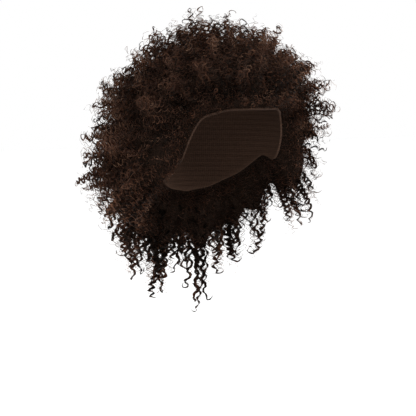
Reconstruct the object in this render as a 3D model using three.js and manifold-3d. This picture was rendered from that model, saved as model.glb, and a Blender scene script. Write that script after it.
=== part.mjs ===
// A curly wig: a stretch-net cap, open for the head, that carries six sections of tightly curled hair.
// Millimetres, +Z up. The face looks along -Y. The origin is inside the cap, where the crown of the head touches it.
// Places on the scalp are given by two angles in degrees: the turn round from the forehead, positive towards
// the wearer's left, and the tilt down from the crown.

import * as THREE from "three";
import { mergeVertices } from "three/addons/utils/BufferGeometryUtils.js";
import Module from "manifold-3d";

const wasm = await Module();
wasm.setup();

// The head that the cap fits: an egg 542 mm round at its widest, which is 97 mm below the crown.
const HEAD_HALF_WIDTH = 76;
const HEAD_HALF_LENGTH = 96;
const HEAD_CROWN_HEIGHT = 97;

// The cap: a knitted net wall, with its edge turned in to a hem.
const CAP_WALL = 2;
const HEM_WALL = 2.8;
const HEM_FROM = 0.93;
const CAP_SIDES = 48;
const CAP_RINGS = 9;

// Where the cap ends, from the forehead round to the nape. It is the same on both sides.
const CAP_EDGE = [
  { turn: 0, tilt: 60 },
  { turn: 35, tilt: 60.5 },
  { turn: 60, tilt: 67 },
  { turn: 70, tilt: 86 },
  { turn: 78, tilt: 103 },
  { turn: 96, tilt: 97 },
  { turn: 120, tilt: 114 },
  { turn: 150, tilt: 126 },
  { turn: 180, tilt: 130 },
];

// The hair, from the crown down: its length, and how far it falls below the way that the scalp faces.
const GROWTH = [
  { tilt: 0, length: 69, fall: 0 },
  { tilt: 30, length: 67, fall: 3 },
  { tilt: 60, length: 80, fall: 11 },
  { tilt: 90, length: 96, fall: 19 },
  { tilt: 114, length: 120, fall: 30 },
  { tilt: 130, length: 128, fall: 32 },
];
const FALL_AT_ROOT = 0.6;
const FALL_AT_TIP = 1.4;
const STEEPEST = -92;

// Over the ears and at the nape nothing holds up the hair near the edge, so there it hangs, and it is longer.
const EDGE_HANG = 36;
const EDGE_LONGER = 0.18;
const EDGE_HANG_OVER = 20;
const HANG_FROM_TURN = 64;
const HANG_FULL_TURN = 84;

// By the face the hair is shorter, combed up off the forehead and brushed back off the temples.
const FACE_SHORTER = 0.15;
const FACE_TURN = 45;
const EAR_TURN = 90;
const FOREHEAD_LIFT = 22;
const TEMPLE_SWEEP = 14;

// The hair's sections lie on the cap and beside each other with a small gap.
const HAIR_GAP = 0.6;
const SECTION_GAP = 0.8;
const CROWN_TILT = 28;
const CROWN_LOCKS = 6;
const WALL_STEPS = 2;

// A lock's tip and the valley beside it, as shares of the hair's length. Rows of locks step aside by turns and each
// tip leans by chance, as shares of a column.
const TIP_SHORTEST = 0.9;
const TIP_LONGEST = 1.18;
const VALLEY = 0.72;
const STAGGER = 0.16;
const TIP_LEAN = 0.3;

// The loose curls that stand out of the locks: tapered corkscrews.
const CURL_FROM = 0.6;
const CURL_TO = 1.16;
const CURL_RADIUS = 4.2;
const CURL_PITCH = 22;
const CURL_ROOT_RADIUS = 4.5;
const CURL_TIP_RADIUS = 1.6;
const CURL_SIDES = 4;
const CURL_STEPS = 12;

// The sections round the crown: their turns, how far up from the edge to the crown they lie, as shares,
// and their columns and rows of locks. A curl stands on one lock in every few, counted by curlEvery, and the seed
// draws the locks' tips.
const SECTIONS = [
  { name: "hair_fringe", turns: [-60, 60], heights: [0, 1], columns: 8, rows: 4, curlEvery: 5, seed: 1002 },
  { name: "hair_right", turns: [-105, -60], heights: [0, 1], columns: 3, rows: 6, curlEvery: 4, seed: 507 },
  { name: "hair_left", turns: [60, 105], heights: [0, 1], columns: 3, rows: 6, curlEvery: 4, seed: 289 },
  { name: "hair_back", turns: [105, 255], heights: [0.5, 1], columns: 10, rows: 3, curlEvery: 5, seed: 327 },
  { name: "hair_nape", turns: [105, 255], heights: [0, 0.5], columns: 10, rows: 3, curlEvery: 3, seed: 370 },
];
const CROWN_CURL_EVERY = 5;
const CROWN_SEED = 275;

const radians = THREE.MathUtils.degToRad;
const { lerp, clamp, mapLinear, smoothstep } = THREE.MathUtils;

// A repeatable stream of numbers from 0 to 1, so that the locks differ in the same way each time.
function randomStream(seed) {
  let state = seed;
  return () => {
    state = (Math.imul(state, 1664525) + 1013904223) >>> 0;
    return state / 2 ** 32;
  };
}

// The value in a table's column, on straight lines between its rows.
function fromTable(rows, key, column, at) {
  const place = clamp(at, rows[0][key], rows.at(-1)[key]);
  const next = Math.max(1, rows.findIndex((row) => row[key] >= place));
  const [low, high] = [rows[next - 1], rows[next]];
  return mapLinear(place, low[key], high[key], low[column], high[column]);
}

// A turn brought to the range from -180 to 180.
function wrapped(turn) {
  return turn > 180 ? turn - 360 : turn;
}

function edgeTilt(turn) {
  return fromTable(CAP_EDGE, "turn", "tilt", Math.abs(wrapped(turn)));
}

function direction(turn, rise) {
  const level = Math.cos(radians(rise));
  return new THREE.Vector3(
    level * Math.sin(radians(turn)),
    -level * Math.cos(radians(turn)),
    Math.sin(radians(rise)),
  );
}

// A point of the head, or this far outside it.
function headPoint(turn, tilt, outside) {
  const [a, b] = [radians(turn), radians(tilt)];
  const unit = new THREE.Vector3(Math.sin(b) * Math.sin(a), -Math.sin(b) * Math.cos(a), Math.cos(b));
  const radii = new THREE.Vector3(HEAD_HALF_WIDTH, HEAD_HALF_LENGTH, HEAD_CROWN_HEIGHT);
  const normal = unit.clone().divide(radii).normalize();
  const point = unit.clone().multiply(radii).addScaledVector(normal, outside);
  point.z -= HEAD_CROWN_HEIGHT;
  return point;
}

// A point on the hair that grows from a place on the cap: out is 0 at its root and 1 at its usual length.
// The hair leaves the scalp in one direction and bends over evenly to another.
function hairPoint(turnAround, tilt, out) {
  const turn = wrapped(turnAround);
  const around = Math.abs(turn);
  const byFace = 1 - smoothstep(around, FACE_TURN, EAR_TURN);
  const level = Math.sin(radians(tilt));
  const lift = FOREHEAD_LIFT * level * Math.max(0, Math.cos(radians(turn)));
  const byEdge = 1 - smoothstep(edgeTilt(turn) - tilt, 0, EDGE_HANG_OVER);
  const hang = byEdge * smoothstep(around, HANG_FROM_TURN, HANG_FULL_TURN);
  const longer = (1 - FACE_SHORTER * byFace) * (1 + EDGE_LONGER * hang);
  const length = fromTable(GROWTH, "tilt", "length", tilt) * longer;
  const fall = fromTable(GROWTH, "tilt", "fall", tilt) + EDGE_HANG * hang;
  const rise = 90 - tilt + lift;
  const sweep = TEMPLE_SWEEP * level * Math.sin(radians(turn)) * (1 + Math.cos(radians(turn)));
  const start = direction(turn + sweep, Math.max(STEEPEST, rise - FALL_AT_ROOT * fall));
  const end = direction(turn + sweep, Math.max(STEEPEST, rise - FALL_AT_TIP * fall));
  const bent = (out * out) / 2;
  return headPoint(turn, tilt, CAP_WALL + HAIR_GAP)
    .addScaledVector(start, length * (out - bent))
    .addScaledVector(end, length * bent);
}

// A geometry's positions alone, with shared vertices merged, each moved by a function.
function moved(geometry, place) {
  geometry.deleteAttribute("normal");
  geometry.deleteAttribute("uv");
  const position = geometry.attributes.position;
  const at = new THREE.Vector3();
  for (let i = 0; i < position.count; i++) {
    place(at.fromBufferAttribute(position, i).clone(), at);
    position.setXYZ(i, at.x, at.y, at.z);
  }
  return mergeVertices(geometry);
}

function solidOf(geometry) {
  return new wasm.Manifold(
    new wasm.Mesh({
      numProp: 3,
      vertProperties: new Float32Array(geometry.attributes.position.array),
      triVerts: new Uint32Array(geometry.index.array),
    }),
  );
}

function geometryOf(solid) {
  const mesh = solid.getMesh();
  const geometry = new THREE.BufferGeometry();
  geometry.setAttribute("position", new THREE.BufferAttribute(mesh.vertProperties, 3));
  geometry.setIndex(new THREE.BufferAttribute(mesh.triVerts, 1));
  return geometry;
}

// The cap: a flat round sheet of two faces, turned on a lathe and then bent over the head down to the edge.
function capGeometry() {
  const inner = [];
  const outer = [];
  for (let ring = 0; ring <= CAP_RINGS; ring++) {
    inner.push(new THREE.Vector2(ring / CAP_RINGS, 0));
    outer.unshift(new THREE.Vector2(ring / CAP_RINGS, 1));
  }
  inner.splice(CAP_RINGS, 0, new THREE.Vector2(HEM_FROM, 0));
  const sheet = new THREE.LatheGeometry([...inner, ...outer], CAP_SIDES);
  return moved(sheet, (flat, at) => {
    const share = Math.hypot(flat.x, flat.z);
    const turn = THREE.MathUtils.radToDeg(Math.atan2(flat.x, flat.z));
    const hemmed = flat.y === 0 && share > HEM_FROM + 1e-6;
    const outside = flat.y === 1 ? CAP_WALL : hemmed ? CAP_WALL - HEM_WALL : 0;
    at.copy(headPoint(turn, share * edgeTilt(turn), outside));
  });
}

// Rows and columns of locks on a backing that lies on the cap: a box of small faces, bent so that its bottom
// follows the cap and the middle of each lock is drawn out to a tip. spot gives the place on the scalp.
function locks(columns, rows, spot, random) {
  const tips = Array.from({ length: columns * rows }, (_, lock) => {
    const out = lerp(TIP_SHORTEST, TIP_LONGEST, random());
    const row = Math.floor(lock / columns);
    const across = (lock % columns) + 0.5 + (row % 2 ? STAGGER : -STAGGER) + TIP_LEAN * (2 * random() - 1);
    const up = row + 0.5 + TIP_LEAN * (2 * random() - 1);
    return { out, ...spot(across / columns, up / rows) };
  });
  const box = new THREE.BoxGeometry(1, 1, 1, 2 * columns, 2 * rows, WALL_STEPS);
  return moved(box, (cube, at) => {
    const column = (cube.x + 0.5) * columns;
    const row = (cube.y + 0.5) * rows;
    const layer = cube.z + 0.5;
    const { turn, tilt } = spot(column / columns, row / rows);
    const isTip = layer === 1 && Math.abs((column % 1) - 0.5) < 0.1 && Math.abs((row % 1) - 0.5) < 0.1;
    if (!isTip) {
      at.copy(hairPoint(turn, tilt, layer * VALLEY));
      return;
    }
    const tip = tips[Math.floor(row) * columns + Math.floor(column)];
    at.copy(hairPoint(tip.turn, tip.tilt, tip.out));
  });
}

// One corkscrew curl: a tapered cylinder wound round the line that the hair follows.
function curl(turn, tilt, phase) {
  const along = (share) => hairPoint(turn, tilt, lerp(CURL_FROM, CURL_TO, share));
  const length = along(0).distanceTo(along(1));
  const winds = length / CURL_PITCH;
  const cylinder = new THREE.CylinderGeometry(CURL_TIP_RADIUS, CURL_ROOT_RADIUS, 1, CURL_SIDES, CURL_STEPS);
  return moved(cylinder, (straight, at) => {
    const share = straight.y + 0.5;
    const line = along(share + 0.01).sub(along(share - 0.01)).normalize();
    const across = new THREE.Vector3(0, 0, 1).cross(line).normalize();
    const over = across.clone().cross(line);
    const angle = phase + 2 * Math.PI * winds * share;
    at.copy(along(share))
      .addScaledVector(across, straight.x + CURL_RADIUS * Math.cos(angle))
      .addScaledVector(over, straight.z + CURL_RADIUS * Math.sin(angle));
  });
}

// A section of hair: its locks on their backing, with curls fused to some of them.
function hairSection(columns, rows, spot, curlEvery, seed) {
  const random = randomStream(seed);
  let hair = solidOf(locks(columns, rows, spot, random));
  for (let lock = 1; lock < columns * rows; lock += curlEvery) {
    const { turn, tilt } = spot(((lock % columns) + 0.5) / columns, (Math.floor(lock / columns) + 0.5) / rows);
    hair = hair.add(solidOf(curl(turn, tilt, 2 * Math.PI * random())));
  }
  return geometryOf(hair);
}

// The angle at the cap's crown axis that keeps half of the gap between two sections.
function gapAngle(tilt) {
  return THREE.MathUtils.radToDeg(SECTION_GAP / (HEAD_HALF_WIDTH * Math.sin(radians(tilt))));
}

// A section round the crown, between two turns and two heights.
function ringSection({ turns, heights, columns, rows, curlEvery, seed }) {
  const spot = (across, up) => {
    const whole = lerp(...turns, across);
    const inset = up === 0 && heights[0] > 0 ? -gapAngle(90) : up === 1 ? gapAngle(90) : 0;
    const tilt = lerp(edgeTilt(whole), CROWN_TILT, lerp(...heights, up)) + inset;
    const side = across === 0 ? 1 : across === 1 ? -1 : 0;
    return { turn: whole + side * gapAngle(tilt), tilt };
  };
  return hairSection(columns, rows, spot, curlEvery, seed);
}

// The crown: a square of locks rounded to a disc, so that its rim has a corner at each step of the sections below.
function crownSection() {
  const spot = (across, back) => {
    const x = 2 * across - 1;
    const y = 2 * back - 1;
    const wide = Math.abs(x) > Math.abs(y);
    const reach = wide ? x : y;
    const slant = reach === 0 ? 0 : (45 * (wide ? y : x)) / reach;
    const turn = wide ? 90 + slant : 180 - slant;
    return { turn: wrapped(reach < 0 ? turn + 180 : turn) % 360, tilt: Math.abs(reach) * CROWN_TILT };
  };
  return hairSection(CROWN_LOCKS, CROWN_LOCKS, spot, CROWN_CURL_EVERY, CROWN_SEED);
}

const capNet = new THREE.MeshStandardMaterial({ color: 0x3b2419, roughness: 0.85, metalness: 0 });
const curlyHair = new THREE.MeshStandardMaterial({ color: 0x1d130d, roughness: 0.55, metalness: 0 });

function named(name, geometry, material) {
  geometry.computeVertexNormals();
  const mesh = new THREE.Mesh(geometry, material);
  mesh.name = name;
  return mesh;
}

const hair = new THREE.Group();
for (const section of SECTIONS) hair.add(named(section.name, ringSection(section), curlyHair));
hair.add(named("hair_crown", crownSection(), curlyHair));

const wig = new THREE.Group();
wig.add(named("wig_cap", capGeometry(), capNet));
wig.add(hair);

export default wig;
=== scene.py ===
from collections import namedtuple

import bpy
import numpy as np
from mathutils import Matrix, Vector


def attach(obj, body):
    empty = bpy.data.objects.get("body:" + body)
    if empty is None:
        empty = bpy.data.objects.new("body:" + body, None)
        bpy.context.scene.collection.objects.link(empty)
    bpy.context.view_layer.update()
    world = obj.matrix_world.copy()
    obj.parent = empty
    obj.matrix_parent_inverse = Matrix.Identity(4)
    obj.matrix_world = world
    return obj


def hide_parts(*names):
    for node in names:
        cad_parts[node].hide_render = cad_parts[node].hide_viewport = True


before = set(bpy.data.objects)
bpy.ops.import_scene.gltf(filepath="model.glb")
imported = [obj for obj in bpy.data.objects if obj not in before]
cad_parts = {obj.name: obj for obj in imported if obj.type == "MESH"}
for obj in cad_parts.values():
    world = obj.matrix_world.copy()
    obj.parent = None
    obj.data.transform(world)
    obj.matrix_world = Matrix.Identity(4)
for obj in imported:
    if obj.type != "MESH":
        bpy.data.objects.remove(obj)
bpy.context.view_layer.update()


# The cap
# A stretch cap of knitted nylon net with a tab down each side, its edge turned in and sewn down as a hem.
# The hair is sewn to its outside in close rows of weft, whose stitching shows as ridges inside.

CAP_RADII = np.array([76.0, 96.0, 97.0])    # mm inside: half the width and length, crown to widest level
CAP_WALL, HEM_WALL = 2.0, 2.8               # mm
HEM_WIDTH, HEM_SLOPE = 8.0, 1.5             # mm, and how much of it the wall takes to thicken
FOLD_PAST, FOLD_OUT = 0.7, -0.5             # the hem's fold: degrees past the edge, mm out from the inside
CAP_EDGE = {                                # degrees round from the front, and down from the crown
    "turn": [0, 35, 60, 70, 78, 96, 120, 150, 180],
    "tilt": [60, 60.5, 67, 86, 103, 97, 114, 126, 130],
}
EDGE_SOFT, EDGE_REACH = 5, 9                # degrees: how round its corners are, and how far each one reaches
CAP_STEPS = 64
WEFT_SPACING = 7.0                          # mm between the sewn rows
KNIT_SPACING = 2.4                          # mm, about three times as coarse as the real net so that it shows
KNIT_ROUND, KNIT_DOWN = 0.08, 0.097         # m: radii that lay the net out flat, round the cap and down it
WAVE_LENGTH = 0.31416                       # m between the ridges of Blender's wave texture at a scale of 1


def signed(turn):
    """Turns from the front, as degrees from -180 to 180."""
    return (turn + 180) % 360 - 180


def edge_tilt(turn):
    """Where the cap ends at a turn from the front, with the corners of the table rounded off."""
    nearby = np.linspace(-EDGE_REACH, EDGE_REACH, 7)
    weights = np.exp(-((nearby / EDGE_SOFT) ** 2))
    turns = abs(signed(turn[..., None] + nearby))
    return np.interp(turns, CAP_EDGE["turn"], CAP_EDGE["tilt"]) @ weights / weights.sum()


def cap_point(turn, tilt, outside):
    """Points of the cap's inside in millimetres, from its crown, or this far outside it."""
    a, b = np.radians(turn), np.radians(tilt)
    unit = np.stack([np.sin(b) * np.sin(a), -np.sin(b) * np.cos(a), np.cos(b)], -1)
    normal = unit / CAP_RADII
    normal /= np.linalg.norm(normal, axis=-1, keepdims=True)
    return unit * CAP_RADII + normal * np.asarray(outside)[..., None] - [0, 0, CAP_RADII[2]]


def quad_mesh(name, points, quads):
    """A smooth-shaded object from arrays: points in millimetres, and faces of four corners."""
    mesh = bpy.data.meshes.new(name)
    mesh.vertices.add(len(points))
    mesh.vertices.foreach_set("co", (points * 0.001).astype(np.float32).ravel())
    mesh.loops.add(quads.size)
    mesh.loops.foreach_set("vertex_index", quads.astype(np.int32).ravel())
    mesh.polygons.add(len(quads))
    mesh.polygons.foreach_set("loop_start", np.arange(0, quads.size, 4, dtype=np.int32))
    mesh.polygons.foreach_set("use_smooth", np.ones(len(quads), bool))
    mesh.update(calc_edges=True)
    piece = bpy.data.objects.new(name, mesh)
    bpy.context.scene.collection.objects.link(piece)
    return piece


def disc(x, y):
    """Rounds a square from -1 to 1 to a disc: gives its places' turns, and their shares of the way out."""
    wide = abs(x) > abs(y)
    reach = np.where(wide, x, y)
    slant = 45 * np.divide(np.where(wide, y, x), reach, out=np.zeros_like(x), where=reach != 0)
    return np.where(wide, 90 + slant, 180 - slant) + np.where(reach < 0, 180, 0), abs(reach)


def shell(name, steps, layers, place):
    """A closed sheet bent to a dome, from a square of quads rounded to a disc. place(turn, share, layer)
    gives its points: share runs from 0 at the crown to 1 at the edge, and the first layer is the inside."""
    line = np.linspace(-1, 1, steps + 1)
    x, y = (a.ravel() for a in np.meshgrid(line, line))
    turn, share = disc(x, y)
    number = np.arange((steps + 1) ** 2).reshape(steps + 1, steps + 1)
    grid = np.stack([number[:-1, :-1], number[:-1, 1:], number[1:, 1:], number[1:, :-1]], -1).reshape(-1, 4)
    rim = np.concatenate([number[0, :-1], number[:-1, -1], number[-1, :0:-1], number[:0:-1, 0]])
    points, rims = [], []
    for layer in layers:
        whole = layer in (layers[0], layers[-1])
        chosen = np.arange(len(x)) if whole else rim
        rims.append(sum(map(len, points)) + (rim if whole else np.arange(len(rim))))
        points.append(place(turn[chosen], share[chosen], layer))
    quads = [grid[:, ::-1], grid + sum(map(len, points[:-1]))]
    for low, high in zip(rims[:-1], rims[1:]):
        quads.append(np.stack([low, np.roll(low, -1), np.roll(high, -1), high], -1))
    return quad_mesh(name, np.concatenate(points), np.concatenate(quads))


def cap_place(turn, share, layer):
    """Points of the inside or the outside of the cap, or of the fold of its hem."""
    tilt = share * edge_tilt(turn)
    if layer == "fold":
        return cap_point(turn, tilt + FOLD_PAST, np.full(len(turn), FOLD_OUT))
    from_edge = np.radians(edge_tilt(turn) - tilt) * CAP_RADII[1]
    hem = np.clip((HEM_WIDTH - from_edge) / HEM_SLOPE, 0, 1) * (HEM_WALL - CAP_WALL)
    return cap_point(turn, tilt, np.where(layer == "outside", CAP_WALL, -hem))


def linear(hex_colour):
    """An sRGB hex colour as the linear colour that a shader takes."""
    srgb = [int(hex_colour[i:i + 2], 16) / 255 for i in (1, 3, 5)]
    return [c / 12.92 if c <= 0.04045 else ((c + 0.055) / 1.055) ** 2.4 for c in srgb] + [1.0]


def add_node(material, kind, settings=None, links=None):
    """Adds a node with its settings, and links its inputs to the outputs given."""
    node = material.node_tree.nodes.new(kind)
    for name, value in (settings or {}).items():
        if isinstance(name, int) or name in node.inputs:
            node.inputs[name].default_value = value
        else:
            setattr(node, name, value)
    for name, output in (links or {}).items():
        material.node_tree.links.new(output, node.inputs[name])
    return node


def new_material(name):
    """A material that has no nodes yet."""
    material = bpy.data.materials.new(name)
    material.use_nodes = True
    material.node_tree.nodes.clear()
    return material


# Warp-knitted nylon net, dyed dark brown: dull, with a fine ladder of stitches and a ridge at each weft.
net = new_material("knitted_nylon_net")
place = add_node(net, "ShaderNodeUVMap", {"uv_map": "knit"})
stitch = add_node(net, "ShaderNodeTexVoronoi", {"Scale": 1000 / KNIT_SPACING, "Randomness": 0.25},
                  {"Vector": place.outputs["UV"]})
rows = add_node(net, "ShaderNodeTexWave",
                {"bands_direction": "Y", "Scale": WAVE_LENGTH / (0.001 * WEFT_SPACING),
                 "Distortion": 0.6, "Detail": 2.0, "Detail Scale": 2.0},
                {"Vector": place.outputs["UV"]})
tint = add_node(net, "ShaderNodeMix", {"data_type": "RGBA", 6: linear("#170f0b"), 7: linear("#3b2a20")},
                {0: stitch.outputs["Distance"]})
relief = add_node(net, "ShaderNodeMath", {"operation": "MULTIPLY_ADD", 1: 0.6},
                  {0: rows.outputs["Fac"], 2: stitch.outputs["Distance"]})
bump = add_node(net, "ShaderNodeBump", {"Strength": 0.7, "Distance": 0.001}, {"Height": relief.outputs[0]})
cloth = add_node(net, "ShaderNodeBsdfPrincipled",
                 {"Roughness": 0.85, "IOR": 1.53, "Specular IOR Level": 0.05},
                 {"Base Color": tint.outputs[2], "Normal": bump.outputs["Normal"]})
add_node(net, "ShaderNodeOutputMaterial", links={"Surface": cloth.outputs["BSDF"]})

cap = shell("cap", CAP_STEPS, ["inside", "fold", "outside"], cap_place)
points = np.empty(3 * len(cap.data.vertices), np.float32)
cap.data.vertices.foreach_get("co", points)
x, y, z = points.reshape(-1, 3).T
corner = np.empty(len(cap.data.loops), np.int32)
cap.data.loops.foreach_get("vertex_index", corner)
knit = np.stack([abs(np.arctan2(x, -y)) * KNIT_ROUND,
                 np.arccos(np.clip(z / KNIT_DOWN + 1, -1, 1)) * KNIT_DOWN], -1)[corner]
cap.data.uv_layers.new(name="knit").data.foreach_set("uv", knit.astype(np.float32).ravel())
cap.data.materials.append(net)
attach(cap, "root")
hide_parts("wig_cap")


# The dense inner hair
# The hair nearest the cap: curled fibre like the rest, packed so close that no curl can be followed in it.
# It grows along the same lines as the curls, and gathers into tufts with a valley between them.

GROWTH = {                                  # degrees down from the crown, length in mm, and degrees of fall
    "tilt": [0, 30, 60, 90, 114, 130],
    "length": [69, 67, 80, 96, 120, 128],
    "fall": [0, 3, 11, 19, 30, 32],
}
FALL_AT_ROOT, FALL_AT_TIP = 0.6, 1.4        # shares of that fall
COMBED_UP, COMBED_BACK = 22, 14             # degrees, at the front and at its sides
FRONT_SHORTER, FRONT_TURNS = 0.15, (45, 90)     # a share of the length, up to these turns from the front
FRONT_ENDS = 64, 84                         # degrees round, between which the front's hair ends
HANG_HEIGHT = 20                            # degrees above the cap's edge in which the hair behind that hangs
HANG_LONGER, HANG_FALL = 0.18, 36           # what that adds: a share of the length, and degrees of fall
STEEPEST = -92                              # degrees: the lowest that any hair points
CROWN_TILT = 28                             # degrees: the edge of the crown's section
Section = namedtuple("Section", "node from_turn to_turn low high columns rows seed")
SECTIONS = [   # turns in degrees, low and high as shares of the way up, and columns and rows of tufts
    Section("hair_fringe", -60, 60, 0.0, 1.0, 8, 4, 1002),
    Section("hair_right", -105, -60, 0.0, 1.0, 3, 6, 507),
    Section("hair_left", 60, 105, 0.0, 1.0, 3, 6, 289),
    Section("hair_back", 105, 255, 0.5, 1.0, 10, 3, 327),
    Section("hair_nape", 105, 255, 0.0, 0.5, 10, 3, 370),
    Section("hair_crown", None, None, 0.0, 1.0, 6, 6, 275),
]
MULTIPLIER, INCREMENT, RANGE = 1664525, 1013904223, 2 ** 32     # of the chance numbers that the solids' tufts were laid out with
TIP_SHORTEST, TIP_LONGEST = 0.9, 1.18       # reach of the tufts, as shares of the usual length
VALLEY = 0.72                               # reach of the hair between the tufts
STAGGER, TIP_LEAN = 0.16, 0.3               # shares of a column: rows step aside, and tips lean by chance
TUFT_ROUND = 0.8                            # half a tuft's width, as a share of the space that it has
DENSE = {                                   # degrees down from the crown, and the dense share of the reach
    "tilt": [0, 30, 60, 90, 130],
    "share": [0.43, 0.48, 0.6, 0.66, 0.65],
}
DENSE_AT_FRONT = 0.35                       # how much of that is left at the edge of the cap, at the front
DENSE_AT_BACK = 0.8                         # and at the sides and the back
DENSE_EDGE = -2, 14                         # degrees inside the edge, between which it grows to the whole
CORE_INSIDE = 0.5                           # degrees that the dense hair stays inside the edge
CORE_STEPS = 96
RING_SPACING, LINE_SPACING = 7.0, 1.7       # mm across a curl that shows in it, and between its lines
CRIMP = 1.5                                 # times RING_SPACING that the lines are bent by chance


def smoothstep(value, low, high):
    """0 below low and 1 above high, with a smooth rise between them."""
    share = np.clip((value - low) / (high - low), 0, 1)
    return share * share * (3 - 2 * share)


def direction(turn, rise):
    """Unit vectors from degrees round from the front and degrees above level."""
    a, b = np.radians(turn), np.radians(rise)
    return np.stack([np.cos(b) * np.sin(a), -np.cos(b) * np.cos(a), np.sin(b)], -1)


HairLine = namedtuple("HairLine", "root start end across length")


def hair_line(turn, tilt):
    """How the hair grows from places on the cap: its root, the ways that it starts and ends, a level
    direction across it, and its length."""
    turn = signed(turn)
    around, level = abs(turn), np.sin(np.radians(tilt))
    hang = (1 - smoothstep(edge_tilt(turn) - tilt, 0, HANG_HEIGHT)) * smoothstep(around, *FRONT_ENDS)
    shorter = 1 - FRONT_SHORTER * (1 - smoothstep(around, *FRONT_TURNS))
    length = np.interp(tilt, GROWTH["tilt"], GROWTH["length"]) * shorter * (1 + HANG_LONGER * hang)
    fall = np.interp(tilt, GROWTH["tilt"], GROWTH["fall"]) + HANG_FALL * hang
    rise = 90 - tilt + COMBED_UP * level * np.maximum(0, np.cos(np.radians(turn)))
    away = turn + COMBED_BACK * level * np.sin(np.radians(turn)) * (1 + np.cos(np.radians(turn)))
    return HairLine(root=cap_point(turn, tilt, np.full(turn.shape, CAP_WALL)),
                    start=direction(away, np.maximum(STEEPEST, rise - FALL_AT_ROOT * fall)),
                    end=direction(away, np.maximum(STEEPEST, rise - FALL_AT_TIP * fall)),
                    across=direction(away + 90, 0 * rise), length=length)


def along(line, out):
    """Points on hair lines, one row for each line, where out is 0 at the root and 1 at the usual length."""
    root, start, end, _, length = (a[:, None] for a in line)
    bent = out ** 2 / 2
    return root + (length * (out - bent))[..., None] * start + (length * bent)[..., None] * end


def place_in(section, across, up):
    """The turn and tilt of places in a section, from shares of its width and height."""
    if section.from_turn is None:
        turn, share = disc(2 * across - 1, 2 * up - 1)
        return turn, share * CROWN_TILT
    turn = section.from_turn + (section.to_turn - section.from_turn) * across
    edge = edge_tilt(turn)
    return turn, edge + (CROWN_TILT - edge) * (section.low + (section.high - section.low) * up)


def tufts_of(section):
    """The tufts of a section, as the solids have them: the turn and tilt of each one's middle, its reach, and
    its half width on the cap in mm."""
    columns, rows, state = section.columns, section.rows, section.seed
    numbers = []
    for _ in range(3 * columns * rows):
        state = (state * MULTIPLIER + INCREMENT) % RANGE
        numbers.append(state / RANGE)
    reach, aside, above = np.array(numbers).reshape(-1, 3).T
    row, column = np.divmod(np.arange(columns * rows), columns)
    aside = 0.5 + STAGGER * (2 * (row % 2) - 1) + TIP_LEAN * (2 * aside - 1)
    above = 0.5 + TIP_LEAN * (2 * above - 1)
    low_left, low_right, high_left, high_right = (
        cap_point(*place_in(section, (column + x) / columns, (row + y) / rows), 0 * row)
        for x, y in ((0, 0), (1, 0), (0, 1), (1, 1)))
    area = np.linalg.norm(np.cross(high_right - low_left, high_left - low_right), axis=-1) / 2
    return (*place_in(section, (column + aside) / columns, (row + above) / rows),
            TIP_SHORTEST + (TIP_LONGEST - TIP_SHORTEST) * reach, TUFT_ROUND * np.sqrt(area))


TUFT_TURN, TUFT_TILT, TUFT_REACH, TUFT_WIDTH = np.concatenate([tufts_of(section) for section in SECTIONS], 1)


def tuft_at(turn, tilt):
    """The number of the tuft nearest to places on the cap, and the reach of the hair there, as a share of its
    usual length."""
    middles = cap_point(TUFT_TURN, TUFT_TILT, 0 * TUFT_TURN)
    away = np.linalg.norm(cap_point(turn, tilt, 0 * turn)[:, None] - middles, axis=-1) / TUFT_WIDTH
    rise = (TUFT_REACH - VALLEY) * (0.5 + 0.5 * np.cos(np.pi * np.minimum(away, 1)))
    return away.argmin(1), VALLEY + rise.max(1)


def dense_out(turn, tilt):
    """How far out the hair is too dense to see into, as a share of its length."""
    to_back = smoothstep(abs(signed(turn)), *FRONT_ENDS)
    at_edge = DENSE_AT_FRONT + (DENSE_AT_BACK - DENSE_AT_FRONT) * to_back
    from_edge = smoothstep(edge_tilt(turn) - tilt, *DENSE_EDGE)
    share = np.interp(tilt, DENSE["tilt"], DENSE["share"]) * (at_edge + (1 - at_edge) * from_edge)
    return share * tuft_at(turn, tilt)[1]


def core_place(turn, share, layer):
    """Points of the dense hair, where layer is 0 at the cap and 1 at its outside."""
    tilt = share * (edge_tilt(turn) - CORE_INSIDE)
    return along(hair_line(turn, tilt), (layer * dense_out(turn, tilt))[:, None])[:, 0]


# Matted dark brown hair: rings of fine dark lines, as light that goes in between the fibres hardly comes out.
matted = new_material("matted_dark_hair")
place = add_node(matted, "ShaderNodeTexCoord")
crimp = add_node(matted, "ShaderNodeTexNoise", {"Scale": 1000 / (2 * RING_SPACING), "Detail": 3.0},
                 {"Vector": place.outputs["Object"]})
bent = add_node(matted, "ShaderNodeVectorMath",
                {"operation": "MULTIPLY_ADD", 1: [0.001 * CRIMP * RING_SPACING] * 3},
                {0: crimp.outputs["Color"], 2: place.outputs["Object"]})
curl = add_node(matted, "ShaderNodeTexVoronoi", {"Scale": 1000 / RING_SPACING}, {"Vector": bent.outputs[0]})
turns = add_node(matted, "ShaderNodeMath",
                 {"operation": "MULTIPLY", 1: 2 * np.pi * RING_SPACING / LINE_SPACING},
                 {0: curl.outputs["Distance"]})
lines = add_node(matted, "ShaderNodeMath", {"operation": "SINE"}, {0: turns.outputs[0]})
fuzz = add_node(matted, "ShaderNodeMath", {"operation": "MULTIPLY_ADD", 1: 0.5, 2: 0.5},
                {0: lines.outputs[0]})
tint = add_node(matted, "ShaderNodeMix", {"data_type": "RGBA", 6: linear("#040302"), 7: linear("#1d1511")},
                {0: fuzz.outputs[0]})
bump = add_node(matted, "ShaderNodeBump", {"Strength": 0.6, "Distance": 0.001}, {"Height": fuzz.outputs[0]})
fibre = add_node(matted, "ShaderNodeBsdfPrincipled",
                 {"Roughness": 0.8, "IOR": 1.55, "Specular IOR Level": 0.0},
                 {"Base Color": tint.outputs[2], "Normal": bump.outputs["Normal"]})
add_node(matted, "ShaderNodeOutputMaterial", links={"Surface": fibre.outputs["BSDF"]})

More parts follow.
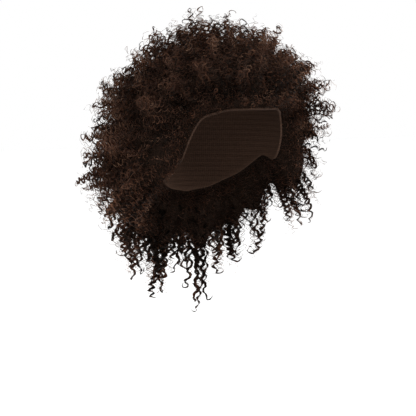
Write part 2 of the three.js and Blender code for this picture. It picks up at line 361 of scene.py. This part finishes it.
core = shell("dense_hair", CORE_STEPS, [0.0, 0.5, 1.0], core_place)
core.data.materials.append(matted)
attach(core, "root")


# The curls
# Tightly curled hair. Over the dense hair it is fine wool, and further out it parts into corkscrew locks of a
# few ribbons of fibre with finer hair wound in. The locks gather to the tips of the tufts, with thin loose
# curls between them.

USUAL_LENGTH = 85.0                         # mm
CURLS = {   # least and most radius, length of a turn and width in mm. Tone: mean and spread, 0 dark, 1 light
    "wool": {"radius": (1.3, 3.0), "pitch": (4.5, 7.0), "width": (0.4, 0.75), "tone": (0.71, 0.18)},
    "edge": {"radius": (1.2, 2.8), "pitch": (4.5, 7.0), "width": (0.4, 0.75), "tone": (0.5, 0.16)},
    "loose": {"radius": (1.6, 4.2), "pitch": (6.0, 12.0), "width": (0.4, 0.8), "tone": (0.68, 0.14)},
    "wavy lock": {"radius": (2.0, 3.2), "pitch": (10.5, 15.0)},
    "tight lock": {"radius": (3.0, 4.2), "pitch": (6.0, 9.0)},
}
CROOKS = {                                  # least and most of the crooks at their ends: mm, and radians
    "lock": {"radius": (3.2, 5.0), "bend": (1.5, 5.2)},
    "loose": {"radius": (2.5, 5.0), "bend": (1.5, 5.5)},
}
EDGE_GATHER, FULL_GATHER = 0.4, 0.9         # how much they gather to the tufts: at the edge, and inside it
FULL_TILTS = 0, 25                          # degrees inside the edge, between which that grows
JITTER = 0.1                                # share of a tuft's place that a curl is moved by chance

# The wool, and more of it where the dense hair shows at the cap's edge
WOOL_LEVEL, WOOL_AREA = 0.6, 20.0           # share of the length where it is spread evenly, mm2 for each curl
WOOL_DEEPER = 0.04                          # share of the length that it begins inside the dense hair
WOOL_LENGTH, EDGE_LENGTH = (0.1, 0.26), (0.16, 0.3)     # shares of USUAL_LENGTH
WOOL_SWAY, EDGE_SWAY = 1.5, 3.0             # mm
WOOL_GATHER = 0.1                           # share of the way to the middles of the tufts
WOOL_SHADE = 0.75                           # how much darker it is for each length further out that it begins, which takes back most of the painted depth shade added along each strand
EDGE_EXTRA = 6                              # mm more than the dense hair's height at the edge that it covers
EDGE_BASE = -0.5, 1                         # shares of that height where it begins, at the cap if below 0
EDGE_PAST, EDGE_LEAN = (-0.3, 2.2), 8       # degrees past the edge of its roots, and more to where it leans
TO_FRONT, TO_FRONT_TURNS = 0.15, (80, 100)  # the share of its turn that it leans to the front, before these
LEAN_SHARE = 0, 1.6                         # of the way to there

# The locks
OUTSIDE, LOCK_AREA = 0.9, 208.0             # share of the length where they are spread evenly, mm2 for each
LOCK_GATHER = 0.5, 1.08                     # shares of the way to the middles of the tufts
LOCK_DEEPER = 0.08                          # share of the length that they begin inside the dense hair
LOWEST_BASE, BARE_TILTS = 0.02, (-1, 8)     # share where they begin at the edge, degrees in which that ends
LOCK_PAST = -0.06, 0.12                     # shares of the length past the reach of the tufts
LONG_SHARE, LONG_PAST = 0.2, (0.03, 0.12)   # of the locks, that stand out further
HANG_TILTS, HANG_PAST = (86, 114), (-0.16, 0.05)    # degrees down, between which they come to hang, shorter
TIGHT_SHARE, TIGHT_LESS = 0.35, 0.25        # of the locks, and less of those that hang
LOCK_SWAY = 1.5, 5.5                        # mm
LOCK_WIDTH, HANG_WIDER = 2.0, 0.9           # mm of a ribbon, and the share that it is wider where locks hang
LONG_PITCH, LONG_WIDTH = 0.4, 0.7           # powers by which turns and ribbons grow with the hair's length
LOCK_TONE, LOCK_SPREAD = 0.52, 0.1          # as tone above
LOCK_DARKEST, LOCK_LIGHTEST = 0.35, 0.58
PAINTED_EDGE_SHADE, PAINTED_EDGE_SHADE_TILTS = 0.15, (-15, 0)   # painted shade at the hairline: how much darker they are at the edge, from this far inside
RIBBONS, FINE_RIBBONS = 2, 3                # in each lock, and of the fine hair that winds with it
FINE_WIDTH, FINE_LIGHTER = 0.6, 0.22        # mm, and how much lighter that is
WIDTH_VARIES, TONE_VARIES = (0.45, 1.25), 0.14  # shares of a width, and spread of tone, within a lock
APART_RADIUS, APART_PHASE = 0.9, 0.5        # mm and radians that ribbons of a lock lie apart
FINE_APART, HANG_CLOSER = 2.4, 0.6          # times that for fine hair, and the share less where locks hang

# The loose curls, spread at the same share of the length as the locks
LOOSE_AREA, LOOSE_SWAY = 94.0, 3.5          # mm2 for each one, and mm
LOOSE_GATHER, LOOSE_PAST = (0.0, 0.75), (-0.08, 0.17)   # shares, as for the locks
THIN_SHARE, THIN_TILTS = 0.4, (100, 120)    # of them, left out where locks hang, between these degrees down

# The winding of a strand
FINE_STEPS, LOCK_STEPS = 6, 7               # of the mesh in each turn of a curl
STEP_BLOCK = 6                              # steps of a ribbon come in blocks, so that few lengths differ
SLOW_ACROSS, SLOW_OVER = 1.1, 1.3           # waves of a strand's slow sway, each way
ROOT_SWAY = 0.2                             # share of its sway that it has at the root
STRAY_TURN, STRAY_RADIUS = 0.7, 0.2         # radians and share of the radius that its winding varies by
OPENING = -0.15, 0.3                        # shares of a strand, between which its winding opens
LEANING = 0.7071                            # sine of the 45 degrees that a ribbon leans
TIP_WIDTH, TIP_TAPER = 0.25, 3              # share of the width left at its tip, and how fast it tapers there
PAINTED_DEPTH_SHADE, PAINTED_SHADE_LEVEL = 0.65, 0.9       # painted shade: tone added for each length further out than this, darker deep in the hair and a little lighter near the tips
STRIPS_WIDE = 6                             # strips across the map of a piece for each one down
STRIP_SIDE, STRIP_END = 0.2, 0.03           # shares of a strip's width and height that stay clear


def spread(section, out, area, chance):
    """Places spread evenly over a section at a share of the hair's length, one for each area in mm2 where the
    hair is as long as USUAL_LENGTH, and fewer where it is longer. Gives them as shares of its width and
    height."""
    columns, rows = section.columns, section.rows
    sides = np.arange(columns + 1) / columns, np.arange(rows + 1) / rows
    turn, tilt = place_in(section, *(a.ravel() for a in np.meshgrid(*sides, indexing="ij")))
    lines = hair_line(turn, tilt)
    surface = along(lines, np.full((len(turn), 1), out))[:, 0].reshape(columns + 1, rows + 1, 3)
    longer = lines.length.reshape(columns + 1, rows + 1)[1:, 1:] / USUAL_LENGTH
    one, two = surface[1:, 1:] - surface[:-1, :-1], surface[1:, :-1] - surface[:-1, 1:]
    counts = np.round(np.linalg.norm(np.cross(one, two), axis=-1) / 2 / area / longer).astype(int)
    column, row = (np.repeat(a.ravel(), counts.ravel()) for a in np.indices(counts.shape))
    even_steps = [0.7548777, 0.5698403]     # powers of 1 / 1.3247180, which never bring two places close
    steps = np.concatenate([np.arange(n) for n in counts.ravel()])[:, None] * even_steps
    spot = (steps + np.repeat(chance.random((counts.size, 2)), counts.ravel(), axis=0)) % 1
    spot = np.clip(spot + JITTER * (chance.random(spot.shape) - 0.5), 0, 1)
    return (column + spot[:, 0]) / columns, (row + spot[:, 1]) / rows


def strands(across, turn, tilt, chance, **values):
    """The arrays that wind takes, one entry for each place: chance gives what isn't among the values."""
    count, tuft = len(turn), tuft_at(turn, tilt)[0]
    hair = {"across": across, "turn": turn, "tilt": tilt,
            "tuft_turn": TUFT_TURN[tuft], "tuft_tilt": TUFT_TILT[tuft],
            "hand": chance.choice([-1.0, 1.0], count), "lean": chance.choice([-1.0, 1.0], count),
            "phase": chance.uniform(0, 2 * np.pi, count), "wander_across": chance.random(count),
            "wander_over": chance.random(count), "crook_way": chance.uniform(0, 2 * np.pi, count),
            "crook": 0.0, "crook_radius": 1.0, **values}
    return {name: np.broadcast_to(value, count) for name, value in hair.items()}


def wind(hair, steps_each_turn):
    """Ribbons of hair wound round the lines that they grow along, from arrays with one entry for each ribbon.
    They lean 45 degrees, so that they look as thick from every side, and end in a crook, bent to its radius.
    Gives pairs of arrays: the points of the ribbons' two edges, and how light the hair is at each step."""
    lines = hair_line(hair["turn"], hair["tilt"])
    middles = hair_line(hair["tuft_turn"], hair["tuft_tilt"])
    straight = lines.length * (hair["tip"] - hair["base"]) - np.minimum(hair["crook"], hair["crook_radius"])
    blocks = np.ceil((straight + hair["crook"]) / hair["pitch"] * steps_each_turn / STEP_BLOCK)
    steps = np.maximum(STEP_BLOCK, blocks * STEP_BLOCK).astype(int)
    groups = []
    for count in np.unique(steps):
        use = np.nonzero(steps == count)[0]
        one = {name: values[use, None] for name, values in hair.items()}
        line, middle = (HairLine(*(a[use] for a in some)) for some in (lines, middles))
        before = straight[use, None]
        share = np.linspace(0, 1, count + 1)[None]
        gone = (before + one["crook"]) * share
        out = one["base"] + np.minimum(gone, before) / line.length[:, None]
        point = along(line, out)
        point += (one["gather"] * np.minimum(1, out) ** 2)[..., None] * (along(middle, out) - point)
        way = line.start[:, None] * (1 - out)[..., None] + line.end[:, None] * out[..., None]
        way /= np.linalg.norm(way, axis=-1, keepdims=True)
        across = np.broadcast_to(line.across[:, None], way.shape)
        over = np.cross(way, across)

        bent = np.maximum(0, gone - before) / one["crook_radius"]
        aside = np.cos(one["crook_way"])[..., None] * across + np.sin(one["crook_way"])[..., None] * over
        point += (one["crook_radius"] * np.sin(bent))[..., None] * way
        point += (one["crook_radius"] * (1 - np.cos(bent)))[..., None] * aside

        slow_across = np.sin(2 * np.pi * (SLOW_ACROSS * share + one["wander_across"]))
        slow_over = np.sin(2 * np.pi * (SLOW_OVER * share + one["wander_over"]))
        angle = one["phase"] + one["hand"] * (2 * np.pi * gone / one["pitch"] + STRAY_TURN * slow_over)
        outward = np.cos(angle)[..., None] * across + np.sin(angle)[..., None] * over
        opening = one["radius"] * smoothstep(share, *OPENING) * (1 + STRAY_RADIUS * slow_across) / (1 + bent)
        sway = one["sway"] * (ROOT_SWAY + (1 - ROOT_SWAY) * share)
        point += opening[..., None] * outward
        point += (sway * slow_across)[..., None] * across + (sway * slow_over)[..., None] * over

        flat = LEANING * (way + one["lean"][..., None] * outward)
        flat = flat * (one["width"] / 2 * np.minimum(1, TIP_TAPER * (1 - share) + TIP_WIDTH))[..., None]
        # Painted shade: the tone is darker the deeper in the hair a step lies, and a little lighter near the
        # tips.
        tone = np.clip(one["tone"] + PAINTED_DEPTH_SHADE * (np.minimum(1, out) - PAINTED_SHADE_LEVEL), 0, 1)
        groups.append((np.stack([point - flat, point + flat], 2), tone))
    return groups


def ribbon_piece(name, groups):
    """One joined mesh from groups of wound ribbons. Each ribbon has a strip of its own in the piece's map."""
    points, tones, quads, strips = [], [], [], []
    first, ribbon = 0, 0
    strips_down = int(np.ceil(np.sqrt(sum(len(edges) for edges, _ in groups) / STRIPS_WIDE)))
    strips_across = STRIPS_WIDE * strips_down
    sides = np.array([STRIP_SIDE, STRIP_SIDE, 1 - STRIP_SIDE, 1 - STRIP_SIDE])
    for edges, tone in groups:
        count, steps = edges.shape[:2]
        number = first + np.arange(count * steps * 2).reshape(count, steps, 2)
        quads.append(np.stack([number[:, :-1, 0], number[:, 1:, 0], number[:, 1:, 1], number[:, :-1, 1]], -1))
        row, column = np.divmod(ribbon + np.arange(count), strips_across)
        level = np.linspace(STRIP_END, 1 - STRIP_END, steps)
        u = column[:, None, None] + sides
        v = row[:, None, None] + np.stack([level[:-1], level[1:], level[1:], level[:-1]], -1)
        strips.append(np.stack(np.broadcast_arrays(u / strips_across, v / strips_down), -1).reshape(-1, 2))
        points.append(edges.reshape(-1, 3))
        tones.append(np.repeat(tone.ravel(), 2))
        first, ribbon = first + count * steps * 2, ribbon + count
    piece = quad_mesh(name, np.concatenate(points), np.concatenate([q.reshape(-1, 4) for q in quads]))
    strip = np.concatenate(strips).astype(np.float32)
    piece.data.uv_layers.new(name="OFBake").data.foreach_set("uv", strip.ravel())
    tone = np.concatenate(tones).astype(np.float32)
    piece.data.attributes.new("tone", "FLOAT", "POINT").data.foreach_set("value", tone)
    return piece


# Curled brown-black hair: a soft broken gloss on each turn, and light from behind that shows brown through
# single strands.
curled = new_material("curled_dark_hair")
# The tone that it reads is each strand's own, with painted shade added: darker deep in the hair and at the
# cap's edge.
tone = add_node(curled, "ShaderNodeAttribute", {"attribute_name": "tone"})
tint = add_node(curled, "ShaderNodeValToRGB", links={"Fac": tone.outputs["Fac"]})
ramp = tint.color_ramp
ramp.elements[0].color, ramp.elements[1].color = linear("#040302"), linear("#382b25")
ramp.elements.new(0.5).color = linear("#19110d")
ramp.elements.new(0.75).color = linear("#2a1e19")
fibre = add_node(curled, "ShaderNodeBsdfPrincipled",
                 {"Roughness": 0.42, "IOR": 1.55, "Specular IOR Level": 0.08,
                  "Specular Tint": linear("#d8c2b2")},
                 {"Base Color": tint.outputs["Color"]})
glow = add_node(curled, "ShaderNodeValToRGB", links={"Fac": tone.outputs["Fac"]})
ramp = glow.color_ramp
ramp.elements[0].color, ramp.elements[1].color = linear("#000000"), linear("#c89a7c")
ramp.elements.new(0.42).color = linear("#24160f")
ramp.elements.new(0.6).color = linear("#5e3b2b")
ramp.elements.new(0.8).color = linear("#8f634b")
through = add_node(curled, "ShaderNodeBsdfTranslucent", links={"Color": glow.outputs["Color"]})
strand = add_node(curled, "ShaderNodeMixShader", {0: 0.45},
                  {1: fibre.outputs["BSDF"], 2: through.outputs["BSDF"]})
add_node(curled, "ShaderNodeOutputMaterial", links={"Surface": strand.outputs["Shader"]})


def gathering(turn, tilt):
    """How much the hair gathers to the tufts: less at the edge of the cap."""
    return EDGE_GATHER + (FULL_GATHER - EDGE_GATHER) * smoothstep(edge_tilt(turn) - tilt, *FULL_TILTS)


def wool_coat(section, chance):
    """Fine wool, over the dense hair."""
    size = CURLS["wool"]
    across, up = spread(section, WOOL_LEVEL, WOOL_AREA, chance)
    count = len(across)
    turn, tilt = place_in(section, across, up)
    base = np.maximum(0, dense_out(turn, tilt) - WOOL_DEEPER)
    longer = hair_line(turn, tilt).length / USUAL_LENGTH
    return strands(across, turn, tilt, chance, base=base, gather=WOOL_GATHER, sway=WOOL_SWAY,
                   tip=base + chance.uniform(*WOOL_LENGTH, count) / longer,
                   radius=chance.uniform(*size["radius"], count),
                   pitch=chance.uniform(*size["pitch"], count),
                   width=chance.uniform(*size["width"], count),
                   tone=chance.normal(*size["tone"], count) + WOOL_SHADE * (WOOL_LEVEL - base))


def edge_coat(section, chance):
    """The same wool on the side of the dense hair that shows at the cap's edge. It leans out over it."""
    size = CURLS["edge"]
    shares = np.linspace(0, 1, 100)
    turn, tilt = place_in(section, shares, 0 * shares)
    edge = cap_point(turn, tilt, 0 * turn)
    passed = np.append(0, np.cumsum(np.linalg.norm(np.diff(edge, axis=0), axis=1)))
    dense, length = dense_out(turn, tilt), hair_line(turn, tilt).length
    height = (dense * length).mean()
    count = int(passed[-1] * (height + EDGE_EXTRA) / WOOL_AREA)
    across = np.interp(chance.random(count) * passed[-1], passed, shares)
    base = np.interp(across, shares, dense) * chance.uniform(*EDGE_BASE, count).clip(0)
    longer = np.interp(across, shares, length) / USUAL_LENGTH
    turn, tilt = place_in(section, across, 0 * across)
    tilt += chance.uniform(*EDGE_PAST, count)
    turn = signed(turn)
    to_front = 1 - TO_FRONT * (1 - smoothstep(abs(turn), *TO_FRONT_TURNS))
    return strands(across, turn, tilt, chance, base=base, sway=EDGE_SWAY,
                   tuft_turn=turn * to_front, tuft_tilt=tilt + EDGE_LEAN,
                   gather=chance.uniform(*LEAN_SHARE, count),
                   tip=base + chance.uniform(*EDGE_LENGTH, count) / longer,
                   radius=chance.uniform(*size["radius"], count),
                   pitch=chance.uniform(*size["pitch"], count),
                   width=chance.uniform(*size["width"], count),
                   tone=chance.normal(*size["tone"], count) + WOOL_SHADE * (WOOL_LEVEL - base))


def lock_coat(section, chance):
    """Corkscrew locks, wavy or tight. At the cap's edge they start deeper, as they show from the root."""
    wavy, tight = CURLS["wavy lock"], CURLS["tight lock"]
    across, up = spread(section, OUTSIDE, LOCK_AREA, chance)
    count = len(across)
    turn, tilt = place_in(section, across, up)
    inside = edge_tilt(turn) - tilt
    longer = hair_line(turn, tilt).length / USUAL_LENGTH
    hangs = smoothstep(tilt, *HANG_TILTS)
    tip = tuft_at(turn, tilt)[1] + chance.uniform(*LOCK_PAST, count)
    tip += (chance.random(count) < LONG_SHARE) * chance.uniform(*LONG_PAST, count) * (1 - hangs)
    tip += chance.uniform(*HANG_PAST, count) * hangs
    is_tight = chance.random(count) < TIGHT_SHARE - TIGHT_LESS * hangs
    crook_radius = chance.uniform(*CROOKS["lock"]["radius"], count)
    gather = chance.uniform(*LOCK_GATHER, count) * gathering(turn, tilt)
    radius, pitch = (
        np.where(is_tight, chance.uniform(*tight[size], count), chance.uniform(*wavy[size], count))
        for size in ("radius", "pitch"))
    sway = chance.uniform(*LOCK_SWAY, count)
    tone = chance.normal(LOCK_TONE, LOCK_SPREAD, count).clip(LOCK_DARKEST, LOCK_LIGHTEST)
    base = (dense_out(turn, tilt) - LOCK_DEEPER) * smoothstep(inside, *BARE_TILTS)
    locks = strands(across, turn, tilt, chance, base=np.maximum(LOWEST_BASE, base), tip=tip, gather=gather,
                    radius=radius, pitch=pitch * longer ** LONG_PITCH, sway=sway,
                    width=LOCK_WIDTH * longer ** LONG_WIDTH * (1 + HANG_WIDER * hangs),
                    # Painted shade: the locks are darker near the cap's edge.
                    tone=tone - PAINTED_EDGE_SHADE * smoothstep(-inside, *PAINTED_EDGE_SHADE_TILTS),
                    crook_radius=crook_radius,
                    crook=crook_radius * chance.uniform(*CROOKS["lock"]["bend"], count))
    each = RIBBONS + FINE_RIBBONS
    locks = {name: np.repeat(values, each) for name, values in locks.items()}
    fine = np.tile(np.arange(each) >= RIBBONS, count)
    count, apart = len(fine), np.where(fine, FINE_APART, 1 - HANG_CLOSER * np.repeat(hangs, each))
    width = np.where(fine, FINE_WIDTH, locks["width"])
    return locks | {"radius": locks["radius"] + chance.uniform(-APART_RADIUS, APART_RADIUS, count) * apart,
                    "phase": locks["phase"] + chance.uniform(-APART_PHASE, APART_PHASE, count) * apart,
                    "lean": chance.choice([-1.0, 1.0], count),
                    "width": width * chance.uniform(*WIDTH_VARIES, count),
                    "tone": locks["tone"] + chance.normal(0, TONE_VARIES, count) + fine * FINE_LIGHTER}


def loose_coat(section, chance):
    """Loose thin curls between the locks, and fewer where those hang."""
    size = CURLS["loose"]
    across, up = spread(section, OUTSIDE, LOOSE_AREA, chance)
    tilt = place_in(section, across, up)[1]
    kept = chance.random(len(across)) > THIN_SHARE * smoothstep(tilt, *THIN_TILTS)
    across, up = across[kept], up[kept]
    count = len(across)
    turn, tilt = place_in(section, across, up)
    crook_radius = chance.uniform(*CROOKS["loose"]["radius"], count)
    return strands(across, turn, tilt, chance, base=dense_out(turn, tilt), sway=LOOSE_SWAY,
                   gather=chance.uniform(*LOOSE_GATHER, count) * gathering(turn, tilt),
                   tip=tuft_at(turn, tilt)[1] + chance.uniform(*LOOSE_PAST, count),
                   radius=chance.uniform(*size["radius"], count),
                   pitch=chance.uniform(*size["pitch"], count),
                   width=chance.uniform(*size["width"], count),
                   tone=chance.normal(*size["tone"], count), crook_radius=crook_radius,
                   crook=crook_radius * chance.uniform(*CROOKS["loose"]["bend"], count))


for number, section in enumerate(SECTIONS):
    node = section.node
    chance = np.random.default_rng(number + 1)
    coats = [(wool_coat(section, chance), FINE_STEPS), (lock_coat(section, chance), LOCK_STEPS),
             (loose_coat(section, chance), FINE_STEPS)]
    if section.from_turn is not None and section.low == 0:
        coats.append((edge_coat(section, chance), FINE_STEPS))

    # At the back there is so much hair that each half is a piece of its own. The shares of the width end
    # just past 1, so that the outermost curl counts.
    halves = {"": (0, 1.01)}
    if node in ("hair_back", "hair_nape"):
        halves = {"_left": (0, 0.5), "_right": (0.5, 1.01)}
    for half, (first, last) in halves.items():
        hair = []
        for coat, steps_each_turn in coats:
            chosen = (coat["across"] >= first) & (coat["across"] < last)
            hair += wind({name: values[chosen] for name, values in coat.items()}, steps_each_turn)
        piece = ribbon_piece(node.replace("hair", "curls") + half, hair)
        piece.data.materials.append(curled)
        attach(piece, "root")
        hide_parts(node)


# The studio
# A plain white sweep well below the hair, and white light from all round. Two large soft lamps stand beside
# the camera and at its right, the stronger one at the right.

FLOOR_LEVEL, FLOOR_HALF = -0.46, 6          # m
MIDDLE = Vector((0, 0, -0.177))             # m: where the lamps and the camera point
PHOTO_TURN, PHOTO_RISE = -35, 5             # degrees: where the photo was taken from
PHOTO_AWAY = 2.2                            # m
PHOTO_WIDTH = 0.5325                        # m across the picture: 416 pixels of 1.28 mm
PHOTO_ASIDE = 0.0154                        # m: the middle lies this far right of the middle of the picture

floor_mesh = bpy.data.meshes.new("floor")
floor_mesh.from_pydata([(x * FLOOR_HALF, y * FLOOR_HALF, FLOOR_LEVEL)
                        for x, y in ((-1, -1), (1, -1), (1, 1), (-1, 1))], [], [(0, 1, 2, 3)])
floor = bpy.data.objects.new("floor", floor_mesh)
bpy.context.scene.collection.objects.link(floor)
# Matt white paper: no gloss, so that it shows as an even white.
paper = new_material("white_paper")
sheet = add_node(paper, "ShaderNodeBsdfPrincipled", {"Base Color": linear("#ffffff"), "Roughness": 0.9})
add_node(paper, "ShaderNodeOutputMaterial", links={"Surface": sheet.outputs["BSDF"]})
floor_mesh.materials.append(paper)

world = bpy.data.worlds.new("white_room")
bpy.context.scene.world = world
world.use_nodes = True
world.node_tree.nodes["Background"].inputs["Color"].default_value = (1, 1, 1, 1)
world.node_tree.nodes["Background"].inputs["Strength"].default_value = 1.0


def lamp(name, turn, rise, away, size, watts):
    """A soft square lamp that points at the middle: turn and rise in degrees, away and size in metres."""
    light = bpy.data.lights.new(name, "AREA")
    light.size, light.energy = size, watts
    stand = bpy.data.objects.new(name, light)
    bpy.context.scene.collection.objects.link(stand)
    stand.location = MIDDLE + away * Vector(direction(np.array(turn), np.array(rise)))
    stand.rotation_euler = (MIDDLE - stand.location).to_track_quat("-Z", "Y").to_euler()


lamp("beside_camera", turn=-50, rise=22, away=1.8, size=1.0, watts=28)
lamp("at_right", turn=40, rise=15, away=2.0, size=1.2, watts=52)

view = Vector(direction(np.array(PHOTO_TURN), np.array(PHOTO_RISE)))
sideways = Vector(direction(np.array(PHOTO_TURN + 90), np.array(0.0)))
camera = bpy.data.objects.new("camera", bpy.data.cameras.new("camera"))
bpy.context.scene.collection.objects.link(camera)
camera.location = MIDDLE - PHOTO_ASIDE * sideways + PHOTO_AWAY * view
camera.rotation_euler = (-view).to_track_quat("-Z", "Y").to_euler()
camera.data.lens = camera.data.sensor_width * PHOTO_AWAY / PHOTO_WIDTH
bpy.context.scene.camera = camera
bpy.context.scene.view_settings.view_transform = "Standard"
